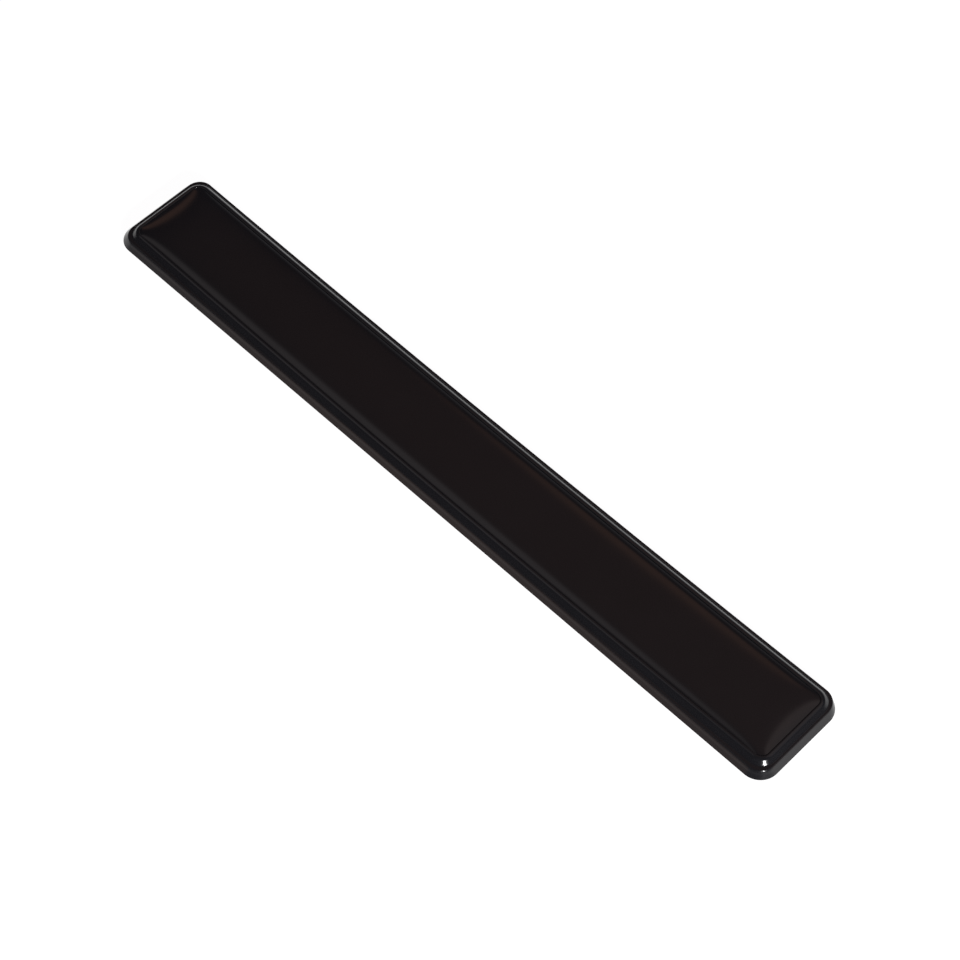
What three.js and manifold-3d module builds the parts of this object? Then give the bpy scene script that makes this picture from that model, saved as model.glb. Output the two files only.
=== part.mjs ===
// Gel wrist rest for a full-size keyboard.
//
// A glossy moulded tray with a sloping skirt and a raised edge holds a domed gel pad: a
// thermoformed film skin over a gel core, closed below by a backing film and stuck to the tray
// floor. Six rubber feet sit in shallow pockets under the tray.
//
// Millimetres, +X along the length, +Y away from the user, +Z up. The origin is on the desk, under
// the middle of the rest.

import * as THREE from 'three';
import { mergeVertices } from 'three/addons/utils/BufferGeometryUtils.js';
import Module from 'manifold-3d';

const wasm = await Module();
wasm.setup();

// ---------------------------------------------------------------- driving dimensions

const LENGTH = 464;
const WIDTH = 60.5;
const HEIGHT = 9.6;

// tray plan
const TRAY_CORNER = 11;
const TRAY_BACK_BOW = 1.6; // the back edge is this hollow at mid-length

// pad seat plan, measured on the crest line of the tray's raised edge
const SEAT_FROM_END = 7.85;
const SEAT_FROM_FRONT = 8.75;
const SEAT_FROM_BACK = 5.9;
const SEAT_CORNER = 5;
const SEAT_BOW = 1.8; // the whole pad bends this far towards the user at mid-length
const SMALLEST_CORNER = 0.8;

// heights of the stack, from the desk up
const FOOT_TOP = 1.5;
const POCKET_ROOF = 1.75;
const TRAY_UNDERSIDE = 1;
const TRAY_FLOOR = 3;
const ADHESIVE_TOP = 3.25;
const BACKING_TOP = 3.75;
const LEDGE = 5.1;
const CREST_TOP = 7.7;
const PAD_RIM = 7.4;

// tray skirt: distances inwards from the outer edge, and heights; the back is steeper
const UNDERSIDE_INSET = 0.3;
const SKIRT = [[0, 1.3], [1.9, 3.83], [2.5, 4.65], [2.95, 5.1]];
const BACK_SHARE = 0.3;

// raised edge: distances from its crest line
const CREST_RADIUS = 3;
const FLANK_TILT = THREE.MathUtils.degToRad(45);
const FLANK_REACH = 3.45;
const FLANK_FOOT = 3.95;
const WALL_IN = 0.5;

// pad
const FIT_GAP = 0.3;
const SKIN_THICKNESS = 0.8;
const SHOULDER_RISE = 0.85;
const SHOULDER_SIDE = 2;
const SHOULDER_END = 4.5;
const CROWN_END = 9; // the crown eases out over this length at the ends
const DOME_STEPS = [0, 0.7, 1.5, 2.6, 4.2, 7, 11.5, 17];
const RIDGE_HALF_WIDTH = 1.2;

// feet
const FOOT_RADIUS = 4.5;
const FOOT_CHAMFER = 0.5;
const POCKET_RADIUS = 5;
const FOOT_ADHESIVE_RADIUS = 4;
const FOOT_COLUMNS = { left: -205, middle: 0, right: 205 };
const FOOT_ROWS = { front: -20, back: 20 };

// smoothness
const CORNER_STEPS = 5;
const EDGE_STEPS = 14;
const CREST_STEPS = 3;
const ROUND_STEPS = 28;
const MERGE_DISTANCE = 1e-5;

// ---------------------------------------------------------------- materials

const black = { color: 0x0b0a0a, metalness: 0 };

const materials = {
  tray: () => new THREE.MeshStandardMaterial({ ...black, roughness: 0.12 }),
  skin: () => new THREE.MeshStandardMaterial({ ...black, color: 0x0d0a09, roughness: 0.08 }),
  gel: () => new THREE.MeshStandardMaterial({ color: 0x1c1513, roughness: 0.3, metalness: 0 }),
  film: () => new THREE.MeshStandardMaterial({ color: 0x161414, roughness: 0.35, metalness: 0 }),
  adhesive: () => new THREE.MeshStandardMaterial({ color: 0xb9b4a6, roughness: 0.6, metalness: 0 }),
  foot: () => new THREE.MeshStandardMaterial({ color: 0x191919, roughness: 0.85, metalness: 0 }),
};

// ---------------------------------------------------------------- plan outlines

// where a long edge has its points: close together near its ends, where the pad rounds off
const EDGE_SHARES = Array.from({ length: EDGE_STEPS - 1 }, (_, i) => (
  (1 - Math.cos((Math.PI * (i + 1)) / EDGE_STEPS)) / 2
));

// Runs anticlockwise seen from above: front edge, right end, back edge, left end. The front and
// back edges are parabolas that reach `bow` towards -Y at mid-length. Every outline has the same
// number of points, so that any two of them can be joined by a band of faces.
function outline({ halfLength, front, back, frontBow, backBow, corner }) {
  const r = Math.max(corner, SMALLEST_CORNER);
  const x = halfLength - r;
  const yFront = front + r;
  const yBack = back - r;
  const arc = (cx, cy, start) =>
    new THREE.EllipseCurve(cx, cy, r, r, start, start + Math.PI / 2).getPoints(CORNER_STEPS);
  const edge = (fromX, y, bow) => {
    const curve = new THREE.QuadraticBezierCurve(
      new THREE.Vector2(fromX, y),
      new THREE.Vector2(0, y - 2 * bow),
      new THREE.Vector2(-fromX, y),
    );
    return EDGE_SHARES.map((share) => curve.getPoint(share));
  };
  return [
    ...edge(-x, front, frontBow),
    ...arc(x, yFront, -Math.PI / 2),
    ...arc(x, yBack, 0),
    ...edge(x, back, backBow),
    ...arc(-x, yBack, Math.PI / 2),
    ...arc(-x, yFront, Math.PI),
  ];
}

function atHeight(points, z) {
  return points.map((p) => new THREE.Vector3(p.x, p.y, z));
}

// a ring that follows the tray's outer edge, `inset` inside it
function rimRing(inset, z) {
  return atHeight(outline({
    halfLength: LENGTH / 2 - inset,
    front: -WIDTH / 2 + inset,
    back: WIDTH / 2 - BACK_SHARE * inset,
    frontBow: 0,
    backBow: TRAY_BACK_BOW,
    corner: TRAY_CORNER - inset,
  }), z);
}

// a ring that follows the crest line of the raised edge, `inset` inside it
function seatRing(inset, z) {
  return atHeight(outline({
    halfLength: LENGTH / 2 - SEAT_FROM_END - inset,
    front: -WIDTH / 2 + SEAT_FROM_FRONT + inset,
    back: WIDTH / 2 - SEAT_FROM_BACK - inset,
    frontBow: SEAT_BOW,
    backBow: SEAT_BOW,
    corner: SEAT_CORNER - inset,
  }), z);
}

// ---------------------------------------------------------------- solids

// A closed body skinned over a list of rings. The first ring is closed by a face that looks down
// and the last one by a face that looks up.
function loft(rings) {
  const count = rings[0].length;
  const position = rings.flat().flatMap((p) => [p.x, p.y, p.z]);
  const index = [];
  for (let row = 0; row + 1 < rings.length; row += 1) {
    for (let i = 0; i < count; i += 1) {
      const next = (i + 1) % count;
      const low = row * count;
      const high = low + count;
      index.push(low + i, low + next, high + next);
      index.push(low + i, high + next, high + i);
    }
  }
  const last = (rings.length - 1) * count;
  for (const [a, b, c] of THREE.ShapeUtils.triangulateShape(rings[0], [])) {
    index.push(a, c, b);
  }
  for (const [a, b, c] of THREE.ShapeUtils.triangulateShape(rings.at(-1), [])) {
    index.push(last + a, last + b, last + c);
  }
  const geometry = new THREE.BufferGeometry();
  geometry.setAttribute('position', new THREE.Float32BufferAttribute(position, 3));
  geometry.setIndex(index);
  return geometry;
}

function toManifold(geometry) {
  const bare = geometry.clone();
  bare.deleteAttribute('normal');
  bare.deleteAttribute('uv');
  const merged = mergeVertices(bare, MERGE_DISTANCE);
  return new wasm.Manifold(new wasm.Mesh({
    numProp: 3,
    vertProperties: Float32Array.from(merged.attributes.position.array),
    triVerts: Uint32Array.from(merged.index.array),
  }));
}

function fromManifold(solid) {
  const { vertProperties, triVerts } = solid.getMesh();
  const geometry = new THREE.BufferGeometry();
  geometry.setAttribute('position', new THREE.BufferAttribute(vertProperties, 3));
  geometry.setIndex(new THREE.BufferAttribute(triVerts, 1));
  return geometry;
}

// an upright disc between two heights
function disc(radius, bottom, top) {
  const geometry = new THREE.CylinderGeometry(radius, radius, top - bottom, ROUND_STEPS);
  return geometry.rotateX(Math.PI / 2).translate(0, 0, (bottom + top) / 2);
}

function mesh(name, geometry, material) {
  geometry.computeVertexNormals();
  const part = new THREE.Mesh(geometry, material);
  part.name = name;
  return part;
}

// ---------------------------------------------------------------- tray

function footPlaces() {
  const places = [];
  for (const [row, y] of Object.entries(FOOT_ROWS)) {
    for (const [column, x] of Object.entries(FOOT_COLUMNS)) {
      places.push({ name: `${row}_${column}`, x, y });
    }
  }
  return places;
}

// underside, skirt, ledge, then up the outer flank of the raised edge, over its crest and down to
// the floor
function trayBody() {
  const flankTop = CREST_RADIUS * Math.sin(FLANK_TILT);
  const flankDrop = CREST_RADIUS * (1 - Math.cos(FLANK_TILT));
  const flankLow = CREST_TOP - flankDrop - (FLANK_REACH - flankTop) * Math.tan(FLANK_TILT);
  const wall = [[-FLANK_FOOT, LEDGE], [-FLANK_REACH, flankLow]];
  for (let step = CREST_STEPS; step >= 0; step -= 1) {
    const tilt = (FLANK_TILT * step) / CREST_STEPS;
    wall.push([-CREST_RADIUS * Math.sin(tilt), CREST_TOP - CREST_RADIUS * (1 - Math.cos(tilt))]);
  }
  for (let step = 1; step <= CREST_STEPS; step += 1) {
    const turn = ((Math.PI / 2) * step) / CREST_STEPS;
    wall.push([WALL_IN * Math.sin(turn), CREST_TOP - WALL_IN * (1 - Math.cos(turn))]);
  }
  return loft([
    rimRing(UNDERSIDE_INSET, TRAY_UNDERSIDE),
    ...SKIRT.map(([inset, z]) => rimRing(inset, z)),
    ...wall.map(([inset, z]) => seatRing(inset, z)),
    seatRing(WALL_IN, TRAY_FLOOR),
  ]);
}

function makeTray() {
  let tray = toManifold(trayBody());
  for (const { x, y } of footPlaces()) {
    const pocket = disc(POCKET_RADIUS, 0, POCKET_ROOF).translate(x, y, 0);
    tray = tray.subtract(toManifold(pocket));
  }
  return mesh('base_tray', fromManifold(tray), materials.tray());
}

// ---------------------------------------------------------------- gel pad

// The film stands off the tray wall by a small gap. From its edge the dome climbs a shoulder that
// eases out within a few millimetres, longer at the ends than at the sides, and a shallow crown.
const PAD_EDGE = WALL_IN + FIT_GAP;
const PAD_HALF_LENGTH = LENGTH / 2 - SEAT_FROM_END - PAD_EDGE;
const PAD_HALF_WIDTH = (WIDTH - SEAT_FROM_FRONT - SEAT_FROM_BACK) / 2 - PAD_EDGE;
const PAD_CENTRE = (SEAT_FROM_FRONT - SEAT_FROM_BACK) / 2;

function ease(distance, reach) {
  return 1 - Math.exp(-distance / reach);
}

function padHeight(x, y) {
  const across = y - PAD_CENTRE + SEAT_BOW * (1 - (x / PAD_HALF_LENGTH) ** 2);
  const side = Math.max(PAD_HALF_WIDTH - Math.abs(across), 0);
  const end = Math.max(PAD_HALF_LENGTH - Math.abs(x), 0);
  const shoulder = ease(side, SHOULDER_SIDE) * ease(end, SHOULDER_END);
  const acrossArch = 1 - (1 - side / PAD_HALF_WIDTH) ** 2;
  const crown = (HEIGHT - PAD_RIM - SHOULDER_RISE) * acrossArch * ease(end, CROWN_END);
  return PAD_RIM + SHOULDER_RISE * shoulder + crown;
}

// rings from the pad's foot up and over the dome, `depth` inside its surface
function domeRings(depth) {
  const start = PAD_EDGE + depth;
  const foot = seatRing(start, BACKING_TOP);
  const steps = [...DOME_STEPS, PAD_HALF_WIDTH - RIDGE_HALF_WIDTH - depth];
  const dome = steps.map((step) => {
    const ring = seatRing(start + step, 0);
    return ring.map((p) => p.setZ(padHeight(p.x, p.y) - depth));
  });
  return [foot, ...dome];
}

function makeSkin() {
  const outside = domeRings(0);
  const inside = domeRings(SKIN_THICKNESS);
  return mesh('pad_skin', loft([...inside.reverse(), ...outside]), materials.skin());
}

function makeGel() {
  return mesh('gel_core', loft(domeRings(SKIN_THICKNESS + FIT_GAP)), materials.gel());
}

function makeSheet(name, bottom, top, material) {
  return mesh(name, loft([seatRing(PAD_EDGE, bottom), seatRing(PAD_EDGE, top)]), material);
}

// ---------------------------------------------------------------- feet

function makeFoot({ name, x, y }) {
  const profile = [
    new THREE.Vector2(0, 0),
    new THREE.Vector2(FOOT_RADIUS - FOOT_CHAMFER, 0),
    new THREE.Vector2(FOOT_RADIUS, FOOT_CHAMFER),
    new THREE.Vector2(FOOT_RADIUS, FOOT_TOP),
    new THREE.Vector2(0, FOOT_TOP),
  ];
  const geometry = new THREE.LatheGeometry(profile, ROUND_STEPS).rotateX(Math.PI / 2);
  const foot = mesh(`foot_${name}`, geometry, materials.foot());
  foot.position.set(x, y, 0);
  return foot;
}

function makeFootAdhesive({ name, x, y }) {
  const geometry = disc(FOOT_ADHESIVE_RADIUS, FOOT_TOP, POCKET_ROOF);
  const pad = mesh(`foot_adhesive_${name}`, geometry, materials.adhesive());
  pad.position.set(x, y, 0);
  return pad;
}

// ---------------------------------------------------------------- the rest

const wristRest = new THREE.Group();
wristRest.add(makeTray());
wristRest.add(makeSheet('pad_adhesive', TRAY_FLOOR, ADHESIVE_TOP, materials.adhesive()));
wristRest.add(makeSheet('backing_film', ADHESIVE_TOP, BACKING_TOP, materials.film()));
wristRest.add(makeGel());
wristRest.add(makeSkin());
for (const place of footPlaces()) {
  wristRest.add(makeFoot(place));
  wristRest.add(makeFootAdhesive(place));
}

export default wristRest;
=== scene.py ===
"""Looks for the gel keyboard wrist rest: a glossy moulded tray, a domed gel pad under a smoky
black film, and six rubber feet. Lengths are metres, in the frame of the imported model."""

import math

import bmesh
import bpy
import numpy as np
from mathutils import Matrix, Vector


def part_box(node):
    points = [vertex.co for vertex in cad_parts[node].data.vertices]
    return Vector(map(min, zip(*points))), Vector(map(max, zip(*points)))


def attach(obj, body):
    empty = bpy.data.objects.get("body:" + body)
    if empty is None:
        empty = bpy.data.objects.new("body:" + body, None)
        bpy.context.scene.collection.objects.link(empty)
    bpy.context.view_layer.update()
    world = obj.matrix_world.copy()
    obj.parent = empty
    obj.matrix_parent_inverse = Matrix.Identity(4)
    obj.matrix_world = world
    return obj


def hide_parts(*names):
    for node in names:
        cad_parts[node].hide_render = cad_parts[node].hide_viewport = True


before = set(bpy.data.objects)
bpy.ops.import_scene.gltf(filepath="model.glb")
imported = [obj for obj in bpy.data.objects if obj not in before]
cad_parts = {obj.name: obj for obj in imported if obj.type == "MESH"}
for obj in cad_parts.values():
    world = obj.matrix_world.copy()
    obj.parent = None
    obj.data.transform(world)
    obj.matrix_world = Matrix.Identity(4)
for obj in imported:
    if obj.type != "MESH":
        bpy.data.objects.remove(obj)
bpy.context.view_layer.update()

MM = 0.001

# ---------------------------------------------------------------- sizes, from the frame

tray_low, tray_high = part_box("base_tray")
pad_low, pad_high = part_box("pad_skin")
film_low, film_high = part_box("backing_film")

HALF_LENGTH = tray_high.x
HALF_WIDTH = tray_high.y
UNDERSIDE = tray_low.z
WALL_TOP = tray_high.z
PAD_TOP = pad_high.z

# plan of the tray and of the seat, the loop of raised edge that the pad lies in
TRAY_CORNER = 11 * MM
TRAY_BACK_BOW = 1.6 * MM
SEAT_CORNER = 5 * MM
SEAT_BOW = 1.8 * MM
WALL_IN = 0.5 * MM         # from the crest line of the raised edge to its inner wall
FIT_GAP = 0.3 * MM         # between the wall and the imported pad
PAD_EDGE = WALL_IN + FIT_GAP
FILM_GAP = 0.06 * MM       # the soft film presses out until it almost meets the wall
SEAT_HALF_LENGTH = pad_high.x + PAD_EDGE
SEAT_BACK = pad_high.y + PAD_EDGE
SEAT_FRONT = SEAT_BOW + pad_low.y - PAD_EDGE
SMALLEST_CORNER = 0.5 * MM
FLOOR_CUT = 0.25 * MM      # how far the seat's floor lies below the backing film

# skirt profile: distances inwards from the tray's outer edge, and heights; the back is steeper
UNDERSIDE_INSET = 0.3 * MM
SKIRT_EDGE = (0, 1.3 * MM)
SKIRT_BREAK = (1.6 * MM, 3.4 * MM)
SKIRT_CORNER = (2.75 * MM, 5.0 * MM)
SKIRT_TOP = (2.95 * MM, 5.1 * MM)
BACK_SHARE = 0.3           # of each inset, along the back edge

# raised edge: distances from its crest line, and heights
LEDGE = 5.1 * MM
CREST_RADIUS = 3 * MM
FLANK_TILT = math.radians(45)
FLANK_REACH = 3.45 * MM
FLANK_FOOT = 3.95 * MM
FOOT_BEND = 0.1 * MM       # how sharply the ledge turns up into the flank

# smoothness
CORNER_STEPS = 18
LONG_STEPS = 120
END_STEPS = 16
MERGE_DISTANCE = 1e-7
TRAY_SHARP = math.radians(40)
SOFT_PIECE_SHARP = math.radians(50)


# ---------------------------------------------------------------- plan outlines

def arc(centre, radius, start, steps):
    turn = np.linspace(start, start + math.pi / 2, steps + 1)
    return np.column_stack([centre[0] + radius * np.cos(turn), centre[1] + radius * np.sin(turn)])


def bowed_edge(start, end, bow, steps):
    """Points between start and end, both left out, that reach `bow` towards -Y half-way."""
    t = np.linspace(0, 1, steps + 1)[1:-1, None]
    points = (1 - t) * start + t * end
    points[:, 1] -= bow * 4 * (t * (1 - t))[:, 0]
    return points


def outline(half_length, front, back, front_bow, back_bow, corner):
    """A rounded bar, anticlockwise from above. Every outline has the same number of points."""
    r = max(corner, SMALLEST_CORNER)
    x, low, high = half_length - r, front + r, back - r
    return np.vstack([
        bowed_edge(np.array([-x, front]), np.array([x, front]), front_bow, LONG_STEPS),
        arc((x, low), r, -math.pi / 2, CORNER_STEPS),
        bowed_edge(np.array([half_length, low]), np.array([half_length, high]), 0, END_STEPS),
        arc((x, high), r, 0, CORNER_STEPS),
        bowed_edge(np.array([x, back]), np.array([-x, back]), back_bow, LONG_STEPS),
        arc((-x, high), r, math.pi / 2, CORNER_STEPS),
        bowed_edge(np.array([-half_length, high]), np.array([-half_length, low]), 0, END_STEPS),
        arc((-x, low), r, math.pi, CORNER_STEPS),
    ])


def rim(inset):
    """The tray's outer edge, moved inwards."""
    return outline(HALF_LENGTH - inset, inset - HALF_WIDTH, HALF_WIDTH - BACK_SHARE * inset, 0,
                   TRAY_BACK_BOW, TRAY_CORNER - inset)


def seat(inset):
    """The centre line of the tray's raised edge, moved inwards."""
    return outline(SEAT_HALF_LENGTH - inset, SEAT_FRONT + inset, SEAT_BACK - inset, SEAT_BOW,
                   SEAT_BOW, SEAT_CORNER - inset)


# ---------------------------------------------------------------- meshes

def new_object(name, verts, faces, smooth=True):
    mesh = bpy.data.meshes.new(name)
    mesh.from_pydata([tuple(v) for v in verts], [], [tuple(f) for f in faces])
    mesh.validate()
    obj = bpy.data.objects.new(name, mesh)
    bpy.context.scene.collection.objects.link(obj)
    tidy = bmesh.new()
    tidy.from_mesh(mesh)
    bmesh.ops.remove_doubles(tidy, verts=tidy.verts, dist=MERGE_DISTANCE)
    bmesh.ops.recalc_face_normals(tidy, faces=tidy.faces)
    tidy.to_mesh(mesh)
    tidy.free()
    for polygon in mesh.polygons:
        polygon.use_smooth = smooth
    return obj


def loft(name, rings):
    """A closed body skinned over rings of (outline, height), closed flat at both ends."""
    count = len(rings[0][0])
    verts = [(x, y, z) for points, z in rings for x, y in points]
    faces = []
    for row in range(len(rings) - 1):
        low, high = row * count, (row + 1) * count
        for i in range(count):
            j = (i + 1) % count
            faces.append((low + i, low + j, high + j, high + i))
    faces.append(tuple(range(count))[::-1])
    faces.append(tuple(range((len(rings) - 1) * count, len(rings) * count)))
    return new_object(name, verts, faces)


def quarter(start, end, steps):
    """Points of a quarter ellipse in (across, up) that leaves start level, start left out."""
    turn = np.linspace(0, math.pi / 2, steps + 1)[1:]
    return [(start[0] + (end[0] - start[0]) * a, start[1] + (end[1] - start[1]) * u)
            for a, u in zip(np.sin(turn), 1 - np.cos(turn))]


def curve(start, bend, end, steps):
    """Points of a quadratic curve in (across, up), both ends included."""
    t = np.linspace(0, 1, steps + 1)[:, None]
    start, bend, end = map(np.array, (start, bend, end))
    return [tuple(p) for p in (1 - t) ** 2 * start + 2 * t * (1 - t) * bend + t * t * end]


def skirt_profile():
    start = (UNDERSIDE_INSET, UNDERSIDE)
    edge = quarter(start, SKIRT_EDGE, 5)
    flank = [tuple(p) for p in np.linspace(SKIRT_EDGE, SKIRT_BREAK, 7)[1:-1]]
    shoulder = curve(SKIRT_BREAK, SKIRT_CORNER, SKIRT_TOP, 10)
    return [start] + edge + flank + shoulder


def raised_edge_profile():
    flank_top = CREST_RADIUS * math.sin(FLANK_TILT)
    flank_high = WALL_TOP - CREST_RADIUS * (1 - math.cos(FLANK_TILT))
    flank_low = flank_high - (FLANK_REACH - flank_top) * math.tan(FLANK_TILT)
    low, high = (-FLANK_REACH, flank_low), (-flank_top, flank_high)
    foot = curve((-FLANK_FOOT, LEDGE), (-FLANK_FOOT + FOOT_BEND, LEDGE), low, 4)
    flank = [tuple(p) for p in np.linspace(low, high, 5)[1:-1]]
    crest = [(-CREST_RADIUS * math.sin(t), WALL_TOP - CREST_RADIUS * (1 - math.cos(t)))
             for t in np.linspace(FLANK_TILT, 0, 14)]
    inner = quarter((0, WALL_TOP), (WALL_IN, WALL_TOP - WALL_IN), 8)
    floor = [(WALL_IN, film_high.z), (WALL_IN, film_low.z - FLOOR_CUT)]
    return foot + flank + crest + inner + floor


def tray_rings():
    """Outlines and heights up the skirt, over the ledge and raised edge, and down to the floor."""
    rings = [(rim(inset), z) for inset, z in skirt_profile()]
    raised = [(seat(inset), z) for inset, z in raised_edge_profile()]
    inner, outer = rings[-1][0], raised[0][0]
    low, high = raised[0][1], rings[-1][1]
    for t in np.linspace(0, 1, 5)[1:-1]:
        ease = t * t * (3 - 2 * t)
        rings.append(((1 - t) * inner + t * outer, high + (low - high) * ease))
    return rings + raised


def cut(obj, tool):
    """Takes the tool's shape out of obj, and deletes the tool."""
    modifier = obj.modifiers.new("cut", "BOOLEAN")
    modifier.operation = "DIFFERENCE"
    modifier.solver = "EXACT"
    modifier.object = tool
    evaluated = obj.evaluated_get(bpy.context.evaluated_depsgraph_get())
    shaped = bpy.data.meshes.new_from_object(evaluated)
    obj.modifiers.clear()
    obj.data = shaped
    bpy.data.objects.remove(tool)


def turned(name, profile, steps=48):
    """A solid of revolution about Z. The profile starts and ends on the axis, bottom first."""
    verts = [(0, 0, profile[0][1])]
    middle = profile[1:-1]
    for r, z in middle:
        for turn in np.linspace(0, 2 * math.pi, steps, endpoint=False):
            verts.append((r * math.cos(turn), r * math.sin(turn), z))
    verts.append((0, 0, profile[-1][1]))
    faces = []
    for i in range(steps):
        j = (i + 1) % steps
        faces.append((0, 1 + j, 1 + i))
        for row in range(len(middle) - 1):
            low, high = 1 + row * steps, 1 + (row + 1) * steps
            faces.append((low + i, low + j, high + j, high + i))
        top = 1 + (len(middle) - 1) * steps
        faces.append((top + i, top + j, len(verts) - 1))
    return new_object(name, verts, faces)


# ---------------------------------------------------------------- gel pad

DOME_EDGE = 7.4 * MM       # where the film leaves the groove beside the tray's raised edge
SHOULDER_RISE = 0.85 * MM
SHOULDER_SIDE = 2 * MM
SHOULDER_END = 4.5 * MM
CROWN_END = 9 * MM
FILM_TURN = 0.35 * MM      # how far the film's side stays smooth below the dome's edge

# spacing of the pad's rows: close at its edges, and wider towards the middle
FIRST_ROW = 0.2 * MM
ROW_GROWTH = 1.12
WIDEST_LENGTHWAYS = 4 * MM
WIDEST_ACROSS = 1.4 * MM


def ease_out(distance, reach):
    """Climbs from 0 at the pad's edge towards 1."""
    return 1 - np.exp(-distance / reach)


def dome_height(from_side, from_end, half_width):
    """A shoulder that eases out from the edges, with a shallow crown over the width."""
    crown = PAD_TOP - DOME_EDGE - SHOULDER_RISE
    side = np.clip(from_side / half_width, 0, 1)
    shoulder = ease_out(from_side, SHOULDER_SIDE) * ease_out(from_end, SHOULDER_END)
    arch = (1 - (1 - side) ** 2) * ease_out(from_end, CROWN_END)
    return DOME_EDGE + SHOULDER_RISE * shoulder + crown * arch


def pad_rows(half, widest):
    """Positions from -half to half, close together near both ends."""
    marks, step = [0.0], FIRST_ROW
    while marks[-1] + step < half:
        marks.append(marks[-1] + step)
        step = min(step * ROW_GROWTH, widest)
    marks[-1] = half
    near = np.array(marks)
    return np.concatenate([near - half, (half - near[:-1])[::-1]])


def make_pad():
    """The film dome: a grid with rounded corners, and a side that goes down to the backing film."""
    edge_inset = WALL_IN + FILM_GAP
    half_x = SEAT_HALF_LENGTH - edge_inset
    half_y = (SEAT_BACK - SEAT_FRONT) / 2 - edge_inset
    middle_y = (SEAT_BACK + SEAT_FRONT) / 2
    corner = SEAT_CORNER - edge_inset
    xs, ys = pad_rows(half_x, WIDEST_LENGTHWAYS), pad_rows(half_y, WIDEST_ACROSS)
    u, v = np.meshgrid(xs, ys, indexing="ij")
    from_end, from_side = half_x - np.abs(u), half_y - np.abs(v)
    z = dome_height(from_side, from_end, half_y)

    p = np.clip(1 - from_end / corner, 0, 1)
    q = np.clip(1 - from_side / corner, 0, 1)
    x = np.where(p > 0, np.sign(u) * (half_x - corner + corner * p * np.sqrt(1 - q * q / 2)), u)
    y = np.where(q > 0, np.sign(v) * (half_y - corner + corner * q * np.sqrt(1 - p * p / 2)), v)
    y = y + middle_y - SEAT_BOW * (1 - (u / half_x) ** 2)

    rows, columns = x.shape
    verts = list(zip(x.ravel(), y.ravel(), z.ravel()))
    faces = []
    for i in range(rows - 1):
        for j in range(columns - 1):
            here, beyond = i * columns + j, (i + 1) * columns + j
            faces.append((here, beyond, beyond + 1, here + 1))
    edge = [i * columns for i in range(rows)]
    edge += [(rows - 1) * columns + j for j in range(1, columns)]
    edge += [i * columns + columns - 1 for i in range(rows - 2, -1, -1)]
    edge += list(range(columns - 2, 0, -1))

    turn_heights = [verts[k][2] - FILM_TURN for k in edge]
    foot_heights = [film_high.z] * len(edge)
    above = edge
    for heights in (turn_heights, foot_heights):
        ring = list(range(len(verts), len(verts) + len(edge)))
        verts += [(verts[k][0], verts[k][1], height) for k, height in zip(edge, heights)]
        for a in range(len(edge)):
            b = (a + 1) % len(edge)
            faces.append((above[a], ring[a], ring[b], above[b]))
        above = ring
    faces.append(tuple(above))
    return new_object("pad_film_dome", verts, faces)


# ---------------------------------------------------------------- materials

MOTTLE_SCALE = 60
RELIEF_DEPTH = 0.02 * MM


def new_material(name):
    material = bpy.data.materials.new(name)
    material.use_nodes = True
    return material, material.node_tree.nodes, material.node_tree.links


def moulded(name, dark, light, roughness, spread, grain, bump):
    """A polymer with slow mottling of colour, finer variation of gloss, and a faint grain."""
    material, nodes, links = new_material(name)
    shader = nodes["Principled BSDF"]
    shader.inputs["IOR"].default_value = 1.5
    place = nodes.new("ShaderNodeTexCoord")

    slow = nodes.new("ShaderNodeTexNoise")
    slow.inputs["Scale"].default_value = MOTTLE_SCALE
    slow.inputs["Detail"].default_value = 3
    links.new(place.outputs["Object"], slow.inputs["Vector"])
    colour = nodes.new("ShaderNodeMixRGB")
    colour.inputs["Color1"].default_value = (*dark, 1)
    colour.inputs["Color2"].default_value = (*light, 1)
    links.new(slow.outputs["Fac"], colour.inputs["Fac"])
    links.new(colour.outputs["Color"], shader.inputs["Base Color"])

    fine = nodes.new("ShaderNodeTexNoise")
    fine.inputs["Scale"].default_value = grain
    fine.inputs["Detail"].default_value = 4
    links.new(place.outputs["Object"], fine.inputs["Vector"])
    gloss = nodes.new("ShaderNodeMapRange")
    gloss.inputs["To Min"].default_value = roughness - spread
    gloss.inputs["To Max"].default_value = roughness + spread
    links.new(fine.outputs["Fac"], gloss.inputs["Value"])
    links.new(gloss.outputs["Result"], shader.inputs["Roughness"])

    relief = nodes.new("ShaderNodeBump")
    relief.inputs["Strength"].default_value = bump
    relief.inputs["Distance"].default_value = RELIEF_DEPTH
    links.new(fine.outputs["Fac"], relief.inputs["Height"])
    links.new(relief.outputs["Normal"], shader.inputs["Normal"])
    return material


def coat_with(obj, material):
    obj.data.materials.clear()
    obj.data.materials.append(material)


# ---------------------------------------------------------------- build

POCKET_GAP = 0.5 * MM      # between a foot and the wall of its pocket
FOOT_ROUNDING = 0.5 * MM

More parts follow.
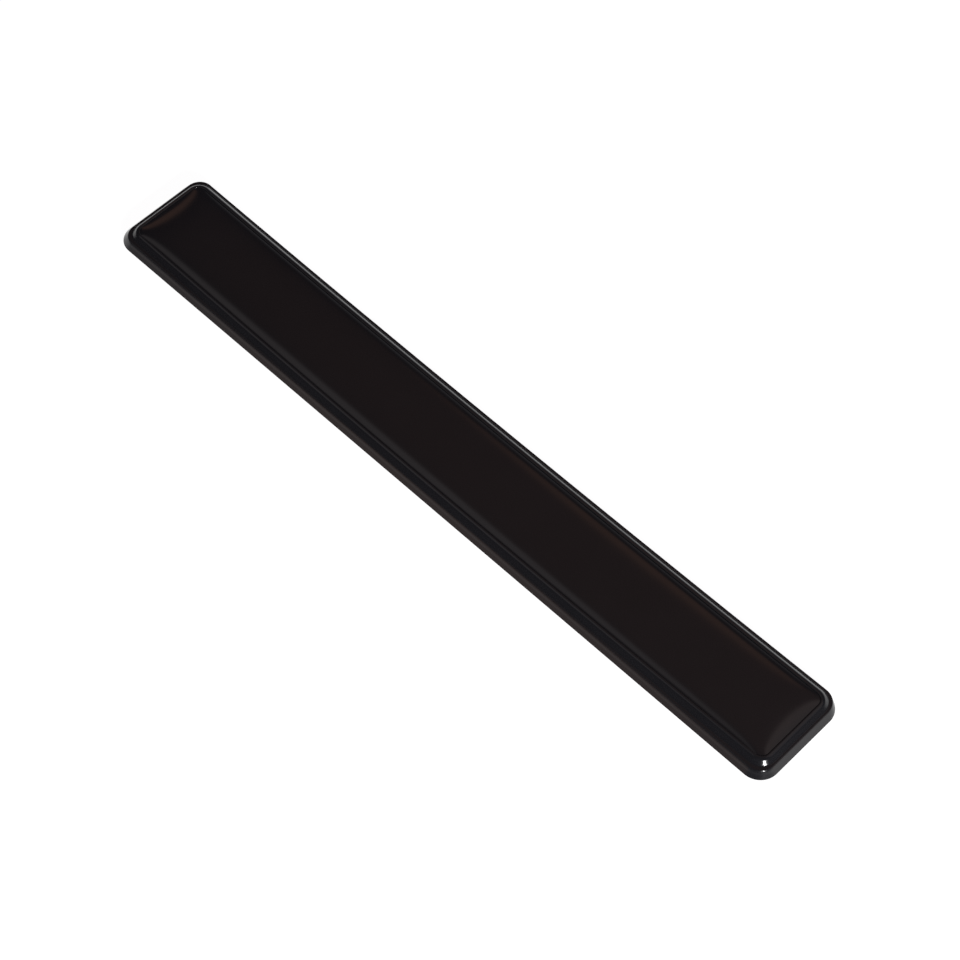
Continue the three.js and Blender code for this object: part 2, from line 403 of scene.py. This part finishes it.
tray_material = moulded("moulded_black", dark=(0.009, 0.009, 0.0105), light=(0.012, 0.012, 0.014),
                        roughness=0.16, spread=0.03, grain=900, bump=0.1)
film_material = moulded("smoky_film", dark=(0.0085, 0.0075, 0.0082), light=(0.0115, 0.010, 0.0108),
                        roughness=0.14, spread=0.03, grain=700, bump=0.2)
gel_material = moulded("dark_gel", dark=(0.02, 0.014, 0.012), light=(0.03, 0.02, 0.016),
                       roughness=0.3, spread=0.05, grain=300, bump=0.1)
backing_material = moulded("backing_film", dark=(0.015, 0.014, 0.014), light=(0.022, 0.02, 0.02),
                           roughness=0.4, spread=0.05, grain=800, bump=0.2)
adhesive_material = moulded("adhesive", dark=(0.42, 0.38, 0.3), light=(0.5, 0.46, 0.36),
                            roughness=0.5, spread=0.08, grain=500, bump=0.2)
rubber_material = moulded("foot_rubber", dark=(0.012, 0.012, 0.012), light=(0.02, 0.02, 0.02),
                          roughness=0.75, spread=0.08, grain=1500, bump=0.6)

tray = loft("tray_moulding", tray_rings())
foot_names = sorted(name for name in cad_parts
                    if name.startswith("foot_") and "adhesive" not in name)
for name in foot_names:
    low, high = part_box(name)
    centre = (low + high) / 2
    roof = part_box(name.replace("foot_", "foot_adhesive_"))[1].z
    radius = (high.x - low.x) / 2 + POCKET_GAP
    pocket = turned("pocket", [(0, -roof), (radius, -roof), (radius, roof), (0, roof)])
    pocket.location = (centre.x, centre.y, 0)
    bpy.context.view_layer.update()
    cut(tray, pocket)
for polygon in tray.data.polygons:
    polygon.use_smooth = True
tray.data.set_sharp_from_angle(angle=TRAY_SHARP)
coat_with(tray, tray_material)
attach(tray, "root")
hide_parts("base_tray")

pad = make_pad()
pad.data.set_sharp_from_angle(angle=SOFT_PIECE_SHARP)
coat_with(pad, film_material)
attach(pad, "root")
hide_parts("pad_skin")

for name in foot_names:
    low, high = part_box(name)
    radius = (high.x - low.x) / 2
    sole = (radius - FOOT_ROUNDING, 0)
    profile = [(0, 0), sole] + quarter(sole, (radius, FOOT_ROUNDING), 6)
    profile += [(radius, high.z), (0, high.z)]
    foot = turned("rubber_" + name, profile)
    place = Vector(((low.x + high.x) / 2, (low.y + high.y) / 2, 0))
    foot.data.transform(Matrix.Translation(place))
    foot.data.set_sharp_from_angle(angle=SOFT_PIECE_SHARP)
    coat_with(foot, rubber_material)
    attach(foot, "root")
    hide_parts(name)

for name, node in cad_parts.items():
    if "adhesive" in name:
        coat_with(node, adhesive_material)
coat_with(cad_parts["gel_core"], gel_material)
coat_with(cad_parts["backing_film"], backing_material)


# ---------------------------------------------------------------- studio

FLOOR_HALF = 3.0
FLOOR_GLOW = 0.95              # a floor that glows white hides the key light's shadow
FLOOR_DARK = (0.29, 0.29, 0.29)
FLOOR_LIGHT = (0.31, 0.31, 0.31)

# angles are degrees: azimuth 0 is towards the user and 90 is +X; elevation 90 is straight up
KEY_AZIMUTH, KEY_ELEVATION = 68, 22
KEY_DISTANCE = 1.6
KEY_SIZE = 0.2
KEY_POWER = 18

CAMERA_TARGET = Vector((16.8 * MM, -0.45 * MM, 0))
CAMERA_AZIMUTH, CAMERA_ELEVATION = 44.68, 57.62
CAMERA_DISTANCE = 1.214
LENS, SENSOR = 89.57, 36       # millimetres


def make_floor():
    h = FLOOR_HALF
    floor = new_object("floor", [(-h, -h, 0), (h, -h, 0), (h, h, 0), (-h, h, 0)], [(0, 1, 2, 3)],
                       smooth=False)
    material, nodes, links = new_material("pale_floor")
    shader = nodes["Principled BSDF"]
    shader.inputs["Roughness"].default_value = 0.9
    shader.inputs["Emission Color"].default_value = (1, 1, 1, 1)
    shader.inputs["Emission Strength"].default_value = FLOOR_GLOW
    place = nodes.new("ShaderNodeTexCoord")
    mottle = nodes.new("ShaderNodeTexNoise")
    mottle.inputs["Scale"].default_value = 2
    links.new(place.outputs["Object"], mottle.inputs["Vector"])
    colour = nodes.new("ShaderNodeMixRGB")
    colour.inputs["Color1"].default_value = (*FLOOR_DARK, 1)
    colour.inputs["Color2"].default_value = (*FLOOR_LIGHT, 1)
    links.new(mottle.outputs["Fac"], colour.inputs["Fac"])
    links.new(colour.outputs["Color"], shader.inputs["Base Color"])
    coat_with(floor, material)


def direction(azimuth, elevation):
    a, e = math.radians(azimuth), math.radians(elevation)
    return Vector((math.sin(a) * math.cos(e), -math.cos(a) * math.cos(e), math.sin(e)))


def aim(obj, toward):
    """Turns a lamp or a camera, which look along -Z, so that it looks back along `toward`."""
    obj.rotation_euler = toward.to_track_quat("Z", "Y").to_euler()


def make_key_light():
    light = bpy.data.lights.new("key", "AREA")
    light.shape = "RECTANGLE"
    light.size, light.size_y = KEY_SIZE, KEY_SIZE
    light.energy = KEY_POWER
    lamp = bpy.data.objects.new("key", light)
    toward = direction(KEY_AZIMUTH, KEY_ELEVATION)
    lamp.location = toward * KEY_DISTANCE
    aim(lamp, toward)
    bpy.context.scene.collection.objects.link(lamp)


# soft areas of light in the room: azimuth, elevation, radius of the bright core, radius where the
# light has faded, all in degrees, and the colour
GLOWS = [
    (112, 0, 5, 10, (0.20, 0.06, 0.02)),
    (-157, 4, 10, 30, (0.16, 0.16, 0.17)),
    (-20, 2, 7, 15, (0.24, 0.10, 0.04)),
    (-68, 63, 7, 18, (0.36, 0.33, 0.33)),
    (148, 59, 13, 18, (0.33, 0.28, 0.27)),
    (122, 42, 4, 12, (0.24, 0.21, 0.22)),
    (-155, 64, 6, 30, (0.115, 0.067, 0.052)),
    (-155, 45, 2, 8, (0.27, 0.14, 0.09)),
    (-115, 36, 2, 8, (0.36, 0.19, 0.13)),
]
ROOM = (0.066, 0.061, 0.075)
HORIZON = 0.83                 # the white sweep all round, brightest at the floor
HORIZON_TOP = math.sin(math.radians(10.5))
BACKDROP = (1, 1, 1)


def make_world():
    """A dim room with soft areas of light; the camera itself sees a plain white backdrop."""
    world = bpy.data.worlds.new("studio")
    bpy.context.scene.world = world
    world.use_nodes = True
    nodes, links = world.node_tree.nodes, world.node_tree.links
    where = nodes.new("ShaderNodeTexCoord")
    total = None
    for azimuth, elevation, core, faded, colour in GLOWS:
        facing = nodes.new("ShaderNodeVectorMath")
        facing.operation = "DOT_PRODUCT"
        facing.inputs[1].default_value = direction(azimuth, elevation)
        links.new(where.outputs["Generated"], facing.inputs[0])
        share = nodes.new("ShaderNodeMapRange")
        share.interpolation_type = "SMOOTHSTEP"
        share.inputs["From Min"].default_value = math.cos(math.radians(faded))
        share.inputs["From Max"].default_value = math.cos(math.radians(core))
        links.new(facing.outputs["Value"], share.inputs["Value"])
        tint = nodes.new("ShaderNodeVectorMath")
        tint.operation = "SCALE"
        tint.inputs[0].default_value = colour
        links.new(share.outputs["Result"], tint.inputs["Scale"])
        add = nodes.new("ShaderNodeVectorMath")
        add.operation = "ADD"
        if total is None:
            add.inputs[0].default_value = ROOM
        else:
            links.new(total.outputs["Vector"], add.inputs[0])
        links.new(tint.outputs["Vector"], add.inputs[1])
        total = add
    height = nodes.new("ShaderNodeSeparateXYZ")
    links.new(where.outputs["Generated"], height.inputs["Vector"])
    sweep = nodes.new("ShaderNodeMapRange")
    sweep.interpolation_type = "SMOOTHSTEP"
    sweep.inputs["From Max"].default_value = HORIZON_TOP
    sweep.inputs["To Min"].default_value = HORIZON
    sweep.inputs["To Max"].default_value = 0
    links.new(height.outputs["Z"], sweep.inputs["Value"])
    lit = nodes.new("ShaderNodeVectorMath")
    lit.operation = "ADD"
    links.new(total.outputs["Vector"], lit.inputs[0])
    links.new(sweep.outputs["Result"], lit.inputs[1])
    room = nodes["Background"]
    links.new(lit.outputs["Vector"], room.inputs["Color"])
    backdrop = nodes.new("ShaderNodeBackground")
    backdrop.inputs["Color"].default_value = (*BACKDROP, 1)
    seen = nodes.new("ShaderNodeLightPath")
    both = nodes.new("ShaderNodeMixShader")
    links.new(seen.outputs["Is Camera Ray"], both.inputs["Fac"])
    links.new(room.outputs["Background"], both.inputs[1])
    links.new(backdrop.outputs["Background"], both.inputs[2])
    links.new(both.outputs["Shader"], nodes["World Output"].inputs["Surface"])


def make_camera():
    data = bpy.data.cameras.new("camera")
    data.lens = LENS
    data.sensor_width = SENSOR
    camera = bpy.data.objects.new("camera", data)
    back = direction(CAMERA_AZIMUTH, CAMERA_ELEVATION)
    camera.location = CAMERA_TARGET + back * CAMERA_DISTANCE
    aim(camera, back)
    bpy.context.scene.collection.objects.link(camera)
    bpy.context.scene.camera = camera


make_floor()
make_world()
make_key_light()
make_camera()
bpy.context.scene.view_settings.view_transform = "Standard"
